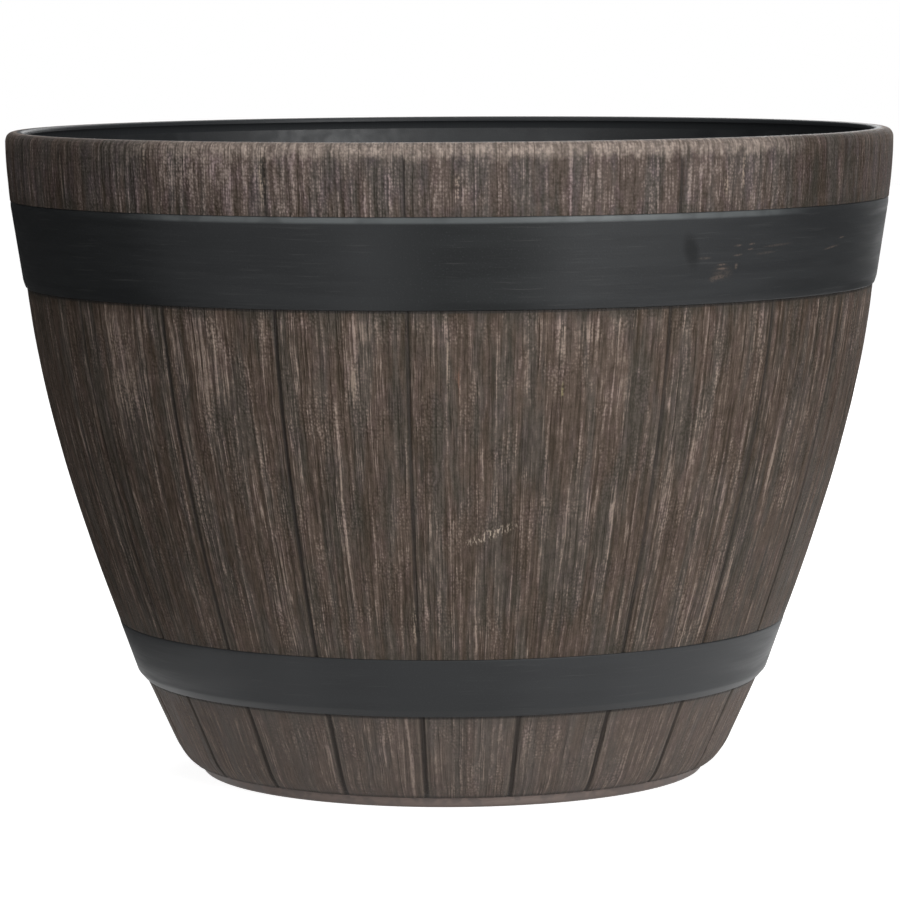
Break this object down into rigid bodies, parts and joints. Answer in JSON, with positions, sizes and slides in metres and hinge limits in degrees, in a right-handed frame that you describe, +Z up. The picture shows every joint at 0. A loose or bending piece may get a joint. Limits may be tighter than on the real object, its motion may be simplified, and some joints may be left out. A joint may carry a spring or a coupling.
{
  "type": "barrel planter",
  "caption": "Round plastic planter tub moulded to look like a half barrel of wooden staves with dark hoops, with plugged drain holes in its floor.",
  "frame": {"origin": "centre of the face that the foot ring stands on", "axes": "+Z up along the barrel's axis, -Y towards the front of the picture, +X to its right"},
  "size_m": [0.394, 0.394, 0.286],
  "materials": {
    "stave_plastic": "moulded wood grain, brushed with a paler brown",
    "hoop_plastic": "satin charcoal",
    "plug_rubber": "matt black"
  },
  "bodies": {
    "barrel": {"barrel_shell": "stave_plastic", "lower_hoop": "hoop_plastic", "upper_hoop": "hoop_plastic"},
    "plug_1": {"drain_plug_1": "plug_rubber"},
    "plug_2": {"drain_plug_2": "plug_rubber"},
    "plug_3": {"drain_plug_3": "plug_rubber"},
    "plug_4": {"drain_plug_4": "plug_rubber"}
  },
  "joints": [
    {"name": "plug_1_lift", "type": "slide", "parent": "barrel", "child": "plug_1", "axis": [0, 0, 1], "range_m": [0, 0.29]},
    {"name": "plug_2_lift", "type": "slide", "parent": "barrel", "child": "plug_2", "axis": [0, 0, 1], "range_m": [0, 0.29]},
    {"name": "plug_3_lift", "type": "slide", "parent": "barrel", "child": "plug_3", "axis": [0, 0, 1], "range_m": [0, 0.29]},
    {"name": "plug_4_lift", "type": "slide", "parent": "barrel", "child": "plug_4", "axis": [0, 0, 1], "range_m": [0, 0.29]}
  ]
}
